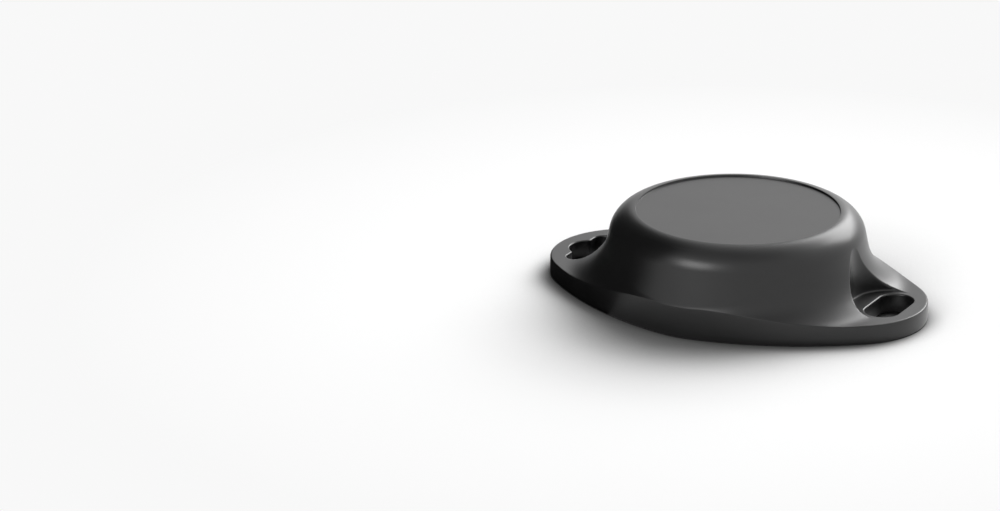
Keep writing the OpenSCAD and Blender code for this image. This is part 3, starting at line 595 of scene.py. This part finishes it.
# %% Node helpers
FLOAT, COLOR, VECTOR = "NodeSocketFloat", "NodeSocketColor", "NodeSocketVector"
COMMON_INPUTS = [("Roughness Low", FLOAT, 0.35), ("Roughness High", FLOAT, 0.45),
                 ("Color", COLOR, (0.02, 0.02, 0.02, 1)), ("Drift Color", COLOR, (0.03, 0.03, 0.03, 1))]


def noise(tree, vector, scale, detail, roughness=0.5):
    """Noise texture on a vector; the scale is a number or a socket."""
    node = tree.nodes.new("ShaderNodeTexNoise")
    node.inputs["Detail"].default_value = detail
    node.inputs["Roughness"].default_value = roughness
    tree.links.new(vector, node.inputs["Vector"])
    if isinstance(scale, (int, float)):
        node.inputs["Scale"].default_value = scale
    else:
        tree.links.new(scale, node.inputs["Scale"])
    return node.outputs["Fac"]


def remap(tree, value, low, high, out_low, out_high):
    """Straight-line remap of a value, clamped; each bound is a number or a socket."""
    node = tree.nodes.new("ShaderNodeMapRange")
    tree.links.new(value, node.inputs["Value"])
    for label, bound in (("From Min", low), ("From Max", high), ("To Min", out_low), ("To Max", out_high)):
        if isinstance(bound, (int, float)):
            node.inputs[label].default_value = bound
        else:
            tree.links.new(bound, node.inputs[label])
    return node.outputs["Result"]


def finish_group(name, first_input, paint):
    """Group with colour, roughness and height outputs. paint gets the tree, the object coordinates and
    the group's inputs, and returns a drift, which mixes the colours, and a height."""
    tree = bpy.data.node_groups.new(name, "ShaderNodeTree")
    for label, kind, value in [first_input] + COMMON_INPUTS:
        tree.interface.new_socket(label, in_out="INPUT", socket_type=kind).default_value = value
    for label, kind in (("Color", COLOR), ("Roughness", FLOAT), ("Height", FLOAT)):
        tree.interface.new_socket(label, in_out="OUTPUT", socket_type=kind)
    ins, outs = tree.nodes.new("NodeGroupInput"), tree.nodes.new("NodeGroupOutput")
    drift, height = paint(tree, tree.nodes.new("ShaderNodeTexCoord").outputs["Object"], ins.outputs)
    mix = tree.nodes.new("ShaderNodeMix")
    mix.data_type = "RGBA"
    tree.links.new(drift, mix.inputs["Factor"])
    tree.links.new(ins.outputs["Color"], mix.inputs[6])
    tree.links.new(ins.outputs["Drift Color"], mix.inputs[7])
    tree.links.new(mix.outputs[2], outs.inputs["Color"])
    tree.links.new(remap(tree, drift, 0.0, 1.0, ins.outputs["Roughness Low"], ins.outputs["Roughness High"]),
                   outs.inputs["Roughness"])
    tree.links.new(height, outs.inputs["Height"])
    return tree


def paint_moulded(tree, coords, ins):
    """Slow drift over centimetres, and a grain of its own size."""
    return (remap(tree, noise(tree, coords, 90.0, 3.0), 0.35, 0.7, 0.0, 1.0),
            noise(tree, coords, ins["Grain"], 2.0, 0.6))


def paint_rolled(tree, coords, ins):
    """Noise on stretched coordinates, so that both drift and height run along one direction."""
    stretch = tree.nodes.new("ShaderNodeMapping")
    tree.links.new(coords, stretch.inputs["Vector"])
    tree.links.new(ins["Stretch"], stretch.inputs["Scale"])
    streaks = noise(tree, stretch.outputs["Vector"], 1.0, 4.0, 0.6)
    return remap(tree, streaks, 0.3, 0.7, 0.0, 1.0), streaks


def paint_speckled(tree, coords, ins):
    """Cells of a Voronoi texture for the speckle, with a finer noise over them as the height."""
    cells = tree.nodes.new("ShaderNodeTexVoronoi")
    tree.links.new(coords, cells.inputs["Vector"])
    tree.links.new(ins["Speckle"], cells.inputs["Scale"])
    return (remap(tree, cells.outputs["Distance"], 0.1, 0.7, 0.0, 1.0),
            noise(tree, coords, ins["Speckle"], 3.0, 0.7))


MOULDED = finish_group("moulded finish", ("Grain", FLOAT, 7000.0), paint_moulded)
ROLLED = finish_group("rolled finish", ("Stretch", VECTOR, (400, 6000, 400)), paint_rolled)
SPECKLED = finish_group("speckled finish", ("Speckle", FLOAT, 5000.0), paint_speckled)
print("groups", [g.name for g in bpy.data.node_groups])

# %% [markdown]
# A finish is then one of the groups, its values, and a shallow bump. What is the same all over a surface,
# such as how metallic or how clear it is, goes on the shader's own sockets.

# %% Finishes
def finish(name, group, first, color, drift, rough, bump=0.1, depth=0.00002, **sockets):
    """Material in which a group feeds colour, roughness and bump; sockets are the shader's constants."""
    material = bpy.data.materials.new(name)
    material.use_nodes = True
    tree = material.node_tree
    shader = tree.nodes["Principled BSDF"]
    look = tree.nodes.new("ShaderNodeGroup")
    look.node_tree = group
    look.inputs[0].default_value = first
    look.inputs["Roughness Low"].default_value, look.inputs["Roughness High"].default_value = rough
    look.inputs["Color"].default_value, look.inputs["Drift Color"].default_value = (*color, 1), (*drift, 1)
    relief = tree.nodes.new("ShaderNodeBump")
    relief.inputs["Strength"].default_value, relief.inputs["Distance"].default_value = bump, depth
    tree.links.new(look.outputs["Height"], relief.inputs["Height"])
    tree.links.new(relief.outputs["Normal"], shader.inputs["Normal"])
    tree.links.new(look.outputs["Color"], shader.inputs["Base Color"])
    tree.links.new(look.outputs["Roughness"], shader.inputs["Roughness"])
    for label, value in sockets.items():
        shader.inputs[label.replace("_", " ")].default_value = value
    return material


def plastic(name, color, drift, rough, grain=7000.0, **more):
    """Moulded plastic."""
    return finish(name, MOULDED, grain, color, drift, rough, **more)


def metal(name, color, drift, rough, stretch=(400, 6000, 400), **more):
    """Rolled, drawn or plated metal."""
    return finish(name, ROLLED, stretch, color, drift, rough, Metallic=1.0, **more)


def speckled(name, color, drift, rough, speckle=5000.0, **more):
    """Ceramic, laminate, resin or foam."""
    return finish(name, SPECKLED, speckle, color, drift, rough, **more)


def wear(material, *pieces):
    """Gives pieces one material. A name is a CAD node, whose mesh stays as it is."""
    for piece in pieces:
        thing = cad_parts[piece] if isinstance(piece, str) else piece
        thing.data.materials.clear()
        thing.data.materials.append(material)


satin_black = plastic("satin_black_plastic", (0.006, 0.006, 0.0062), (0.0075, 0.0075, 0.0077), (0.29, 0.33),
                      bump=0.04)
wear(satin_black, housing_skin, housing_ledges, housing_bosses)
wear(plastic("satin_cover_plastic", (0.011, 0.011, 0.0112), (0.015, 0.015, 0.0152), (0.32, 0.4), bump=0.08),
     cover_skin, cover_lugs)
wear(plastic("seal_rubber", (0.012, 0.012, 0.012), (0.02, 0.02, 0.02), (0.45, 0.6), grain=9000.0),
     "cover_seal")
wear(speckled("pad_foam", (0.035, 0.035, 0.038), (0.09, 0.09, 0.095), (0.85, 0.98), 2600.0, bump=0.8,
              depth=0.0001), pad_cushion)
print("outside finishes done")

# %% [markdown]
# The electronics show only when the cover is off, but they are what the part is. Their finishes are the
# ones that such parts have: green solder mask over a glass weave, tin and nickel plate with the streaks of
# rolling, glazed ceramics, amber and black resins.

# %% Finishes of the pieces inside
wear(speckled("green_solder_mask", (0.010, 0.085, 0.032), (0.016, 0.11, 0.045), (0.22, 0.34), 2200.0,
              bump=0.12), "circuit_board")
wear(speckled("blue_module_mask", (0.010, 0.020, 0.070), (0.014, 0.030, 0.10), (0.2, 0.3), 2600.0,
              bump=0.1), "module_board")
wear(metal("zinc_plated_screw_steel", (0.50, 0.50, 0.49), (0.40, 0.40, 0.42), (0.25, 0.42),
           (900, 900, 5000)), "board_screws")
wear(metal("gold_flash", (0.80, 0.55, 0.22), (0.70, 0.45, 0.16), (0.18, 0.32), (2500, 2500, 2500)),
     "test_pads")
wear(metal("tinned_sheet", (0.62, 0.61, 0.58), (0.52, 0.51, 0.49), (0.28, 0.45), (500, 7000, 500)),
     "positive_contact", "negative_contact", "button_frame", "snap_dome")
wear(metal("drawn_shield_sheet", (0.60, 0.60, 0.58), (0.50, 0.50, 0.49), (0.25, 0.4), (6000, 450, 450)),
     "shield_can", "module_crystal", "clock_crystal")
wear(metal("nickel_plated_cell_steel", (0.62, 0.62, 0.63), (0.54, 0.54, 0.55), (0.22, 0.36),
           (300, 5200, 300)), "cell_cup", "cell_cap")
wear(speckled("pressed_cell_filling", (0.04, 0.04, 0.045), (0.07, 0.07, 0.075), (0.7, 0.9), 4000.0,
              bump=0.4), "cell_core")
wear(plastic("off_white_nylon", (0.72, 0.71, 0.66), (0.78, 0.77, 0.73), (0.38, 0.5), 6000.0),
     "cell_ring", "button_plunger", "status_light")
wear(plastic("black_holder_plastic", (0.016, 0.016, 0.018), (0.024, 0.024, 0.026), (0.42, 0.55), 5200.0,
             bump=0.15), "cell_holder", "button_base")
wear(plastic("black_chip_resin", (0.018, 0.018, 0.020), (0.028, 0.028, 0.030), (0.5, 0.65), 12000.0, bump=0.3),
     "radio_chip", "motion_sensor", "transistor")
wear(speckled("white_glazed_ceramic", (0.70, 0.70, 0.68), (0.76, 0.76, 0.75), (0.12, 0.25), 9000.0, bump=0.05),
     "chip_antenna")
wear(plastic("amber_capacitor_resin", (0.55, 0.27, 0.03), (0.62, 0.33, 0.05), (0.25, 0.38), 9000.0),
     "bulk_capacitor")
wear(speckled("tan_fired_ceramic", (0.40, 0.29, 0.17), (0.47, 0.35, 0.21), (0.4, 0.55), 14000.0),
     "ceramic_capacitors")
wear(speckled("black_resistor_glaze", (0.014, 0.014, 0.016), (0.03, 0.03, 0.032), (0.18, 0.32), 14000.0),
     "chip_resistors")
wear(plastic("clear_lens_resin", (0.86, 0.92, 0.96), (0.90, 0.94, 0.97), (0.04, 0.09), 3000.0, bump=0.02,
             Transmission_Weight=0.9, IOR=1.5), "light_lens")
dressed = [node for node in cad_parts.values()
           if node.data.materials and node.data.materials[0].use_nodes]
print("CAD nodes with a finish:", len(dressed), "of", len(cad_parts))

# %% [markdown]
# The photograph's floor is white right up to the object's soft shadow, yet the object's left side is black,
# as if a dark flag stood there, out of view. A real flag would also throw a shadow, so a small group says
# instead how much white is left in a direction. The world and the floor both use it, so that plastic,
# metal and glass reflect the white background everywhere but at the flag.

# %% Flag
WHITE, FLAG_BLACK = 0.94, 0.02


def bearing(azimuth, elevation):
    """Direction from two angles in degrees."""
    a, e = math.radians(azimuth), math.radians(elevation)
    return (math.cos(e) * math.cos(a), math.cos(e) * math.sin(a), math.sin(e))


FLAG_WAY, FLAG_STARTS, FLAG_FULL = bearing(176, 20), 0.65, 0.74


def vector_math(tree, operation, first, second=None):
    """Vector Math node on a socket and, if given, a fixed vector."""
    node = tree.nodes.new("ShaderNodeVectorMath")
    node.operation = operation
    tree.links.new(first, node.inputs[0])
    if second is not None:
        node.inputs[1].default_value = second
    return node.outputs["Value" if operation in ("LENGTH", "DOT_PRODUCT") else "Vector"]


def multiply(tree, first, second):
    """Product of two sockets."""
    node = tree.nodes.new("ShaderNodeMath")
    node.operation = "MULTIPLY"
    tree.links.new(first, node.inputs[0])
    tree.links.new(second, node.inputs[1])
    return node.outputs["Value"]


FLAG = bpy.data.node_groups.new("flag shade", "ShaderNodeTree")
FLAG.interface.new_socket("Direction", in_out="INPUT", socket_type=VECTOR)
FLAG.interface.new_socket("White", in_out="OUTPUT", socket_type=FLOAT)
flag_in, flag_out = FLAG.nodes.new("NodeGroupInput"), FLAG.nodes.new("NodeGroupOutput")
way = vector_math(FLAG, "NORMALIZE", flag_in.outputs["Direction"])
FLAG.links.new(remap(FLAG, vector_math(FLAG, "DOT_PRODUCT", way, FLAG_WAY), FLAG_STARTS, FLAG_FULL, 1.0,
                     FLAG_BLACK), flag_out.inputs["White"])


def flag_shade(tree, direction):
    """The flag's group on a direction."""
    node = tree.nodes.new("ShaderNodeGroup")
    node.node_tree = FLAG
    tree.links.new(direction, node.inputs["Direction"])
    return node.outputs["White"]


def seen_by(tree, *kinds):
    """One for the named kinds of ray, none for the others."""
    path = tree.nodes.new("ShaderNodeLightPath")
    total = path.outputs[kinds[0]]
    for kind in kinds[1:]:
        add = tree.nodes.new("ShaderNodeMath")
        add.operation, add.use_clamp = "ADD", True
        tree.links.new(total, add.inputs[0])
        tree.links.new(path.outputs[kind], add.inputs[1])
        total = add.outputs["Value"]
    return total


BACKGROUND_RAYS = ("Is Camera Ray", "Is Glossy Ray", "Is Transmission Ray")


def grey_mix(tree, factor, low, high):
    """Colour between two sockets or greys, by a factor."""
    node = tree.nodes.new("ShaderNodeMix")
    node.data_type = "RGBA"
    tree.links.new(factor, node.inputs["Factor"])
    for index, value in ((6, low), (7, high)):
        if isinstance(value, (int, float)):
            node.inputs[index].default_value = (value, value, value, 1)
        else:
            tree.links.new(value, node.inputs[index])
    return node.outputs[2]


print("flag towards", FLAG_WAY)

# %% [markdown]
# Near the object the floor is matt white under the lamps, so it keeps the shadow. Further out the rays that
# show a background see it as plain white, which no lamp has to supply. Right under the object's edge the
# photograph's shadow is deeper than soft light makes it, so there the floor's colour darkens too.

# %% Floor
FLOOR_COLOR, FLOOR_HALF, FLOOR_Z = 0.82, 4000, -0.02
FADE_FROM, FADE_TO, FLAG_CORNER = 0.05, 0.12, (-0.012, -0.018, 0)
# The floor's painted shadow: how far it reaches, its darkest colour, and the shares of open sky over which it
# fades.
CONTACT, PAINTED_SHADOW_DARK, SKY_NONE, SKY_ALL = 0.035, 0.02, 0.38, 0.96


def floor_material():
    """Matt white near the object; away from it the background rays see plain white. The flag's painted shade
    darkens the floor's colour for every ray but the camera's, in the sector that starts at the foot of the
    wall's dark side.
    Close to the object a painted shadow darkens the floor's colour for the camera, by the share of open sky
    over it. From below it is clear."""
    material = bpy.data.materials.new("studio_floor")
    material.use_nodes = True
    tree = material.node_tree
    matt = tree.nodes["Principled BSDF"]
    matt.inputs["Roughness"].default_value = 1.0
    matt.inputs["Specular IOR Level"].default_value = 0.0
    place = tree.nodes.new("ShaderNodeTexCoord").outputs["Object"]
    # Painted shade: in the flag's sector the floor's colour is darker for every ray but the camera's, and so
    # is its plain white further out, so that the object reflects a dark floor there.
    shade = flag_shade(tree, vector_math(tree, "SUBTRACT", place, FLAG_CORNER))
    camera_only = seen_by(tree, "Is Camera Ray")
    white = grey_mix(tree, shade, 0.0, WHITE)
    # Painted shadow: the occlusion near the object darkens the floor's colour that the camera sees.
    painted_shadow_ao = tree.nodes.new("ShaderNodeAmbientOcclusion")
    painted_shadow_ao.inputs["Distance"].default_value = CONTACT
    open_sky = remap(tree, painted_shadow_ao.outputs["AO"], SKY_NONE, SKY_ALL, 0.0, 1.0)
    close = grey_mix(tree, open_sky, PAINTED_SHADOW_DARK, FLOOR_COLOR)
    tree.links.new(grey_mix(tree, camera_only, grey_mix(tree, shade, 0.0, FLOOR_COLOR), close),
                   matt.inputs["Base Color"])
    plain = tree.nodes.new("ShaderNodeEmission")
    tree.links.new(grey_mix(tree, camera_only, white, WHITE), plain.inputs["Color"])
    far = remap(tree, vector_math(tree, "LENGTH", place), FADE_FROM, FADE_TO, 0.0, 1.0)
    mix = tree.nodes.new("ShaderNodeMixShader")
    tree.links.new(multiply(tree, far, seen_by(tree, *BACKGROUND_RAYS)), mix.inputs["Fac"])
    tree.links.new(matt.outputs["BSDF"], mix.inputs[1])
    tree.links.new(plain.outputs["Emission"], mix.inputs[2])
    one_sided = tree.nodes.new("ShaderNodeMixShader")
    tree.links.new(tree.nodes.new("ShaderNodeNewGeometry").outputs["Backfacing"], one_sided.inputs["Fac"])
    tree.links.new(mix.outputs["Shader"], one_sided.inputs[1])
    tree.links.new(tree.nodes.new("ShaderNodeBsdfTransparent").outputs["BSDF"], one_sided.inputs[2])
    tree.links.new(one_sided.outputs["Shader"], tree.nodes["Material Output"].inputs["Surface"])
    return material


floor = new_piece("floor", [[x * FLOOR_HALF, y * FLOOR_HALF, FLOOR_Z]
                            for x, y in ((-1, -1), (1, -1), (1, 1), (-1, 1))], [[0, 1, 2, 3]])
wear(floor_material(), floor)

# %% [markdown]
# Two soft lamps: a large key behind the object, which draws the bright crescent on the right of the
# shoulder, and a smaller one in front for the highlight on the wall. Each is given by what it looks like
# from the object: its direction, distance, size and glow. The world fills in the rest, mostly from behind,
# so that the soft shadow falls to the front. What it shows in reflections is white, a little dimmer
# overhead.

# %% Lamps and world
def soft_lamp(name, way, distance, size, glow):
    """Rectangular lamp in a direction from the object, facing it; its power is glow times pi times area."""
    data = bpy.data.lights.new(name, "AREA")
    data.shape, data.size, data.size_y = "RECTANGLE", size[0], size[1]
    data.energy = glow * math.pi * size[0] * size[1]
    lamp = bpy.data.objects.new(name, data)
    bpy.context.scene.collection.objects.link(lamp)
    toward = Vector(way).normalized()
    facing = toward.to_track_quat("Z", "Y").to_matrix().to_4x4()
    lamp.matrix_world = Matrix.Translation(toward * distance) @ facing


soft_lamp("key_lamp", bearing(80, 31), 0.9, (0.62, 0.48), 5.6)
soft_lamp("front_lamp", bearing(-102, 27), 0.9, (0.42, 0.34), 5.3)

BACK_WAY, BACK_FADE, WORLD_FRONT, WORLD_BACK = bearing(84, 34), (0.78, 0.98), 0.08, 6.2
OVERHEAD_FADE, OVERHEAD_DIM = (0.7, 1.0), 0.55
world = bpy.data.worlds.new("studio")
bpy.context.scene.world = world
world.use_nodes = True
sky = world.node_tree
direction = sky.nodes.new("ShaderNodeTexCoord").outputs["Generated"]
light = sky.nodes["Background"]
light.inputs["Color"].default_value = (1, 1, 1, 1)
backward = vector_math(sky, "DOT_PRODUCT", direction, BACK_WAY)
sky.links.new(remap(sky, backward, *BACK_FADE, WORLD_FRONT, WORLD_BACK), light.inputs["Strength"])
shown = sky.nodes.new("ShaderNodeBackground")
upward = vector_math(sky, "DOT_PRODUCT", direction, (0, 0, 1))
overhead = remap(sky, upward, *OVERHEAD_FADE, 1.0, OVERHEAD_DIM)
reflected = grey_mix(sky, multiply(sky, flag_shade(sky, direction), overhead), 0.0, 1.0)
sky.links.new(grey_mix(sky, seen_by(sky, "Is Camera Ray"), reflected, WHITE), shown.inputs["Color"])
choose = sky.nodes.new("ShaderNodeMixShader")
sky.links.new(seen_by(sky, *BACKGROUND_RAYS), choose.inputs["Fac"])
sky.links.new(light.outputs["Background"], choose.inputs[1])
sky.links.new(shown.outputs["Background"], choose.inputs[2])
sky.links.new(choose.outputs["Shader"], sky.nodes["World Output"].inputs["Surface"])
bpy.context.scene.view_settings.view_transform = "Standard"
print("lamps", [lamp.name for lamp in bpy.data.lights])
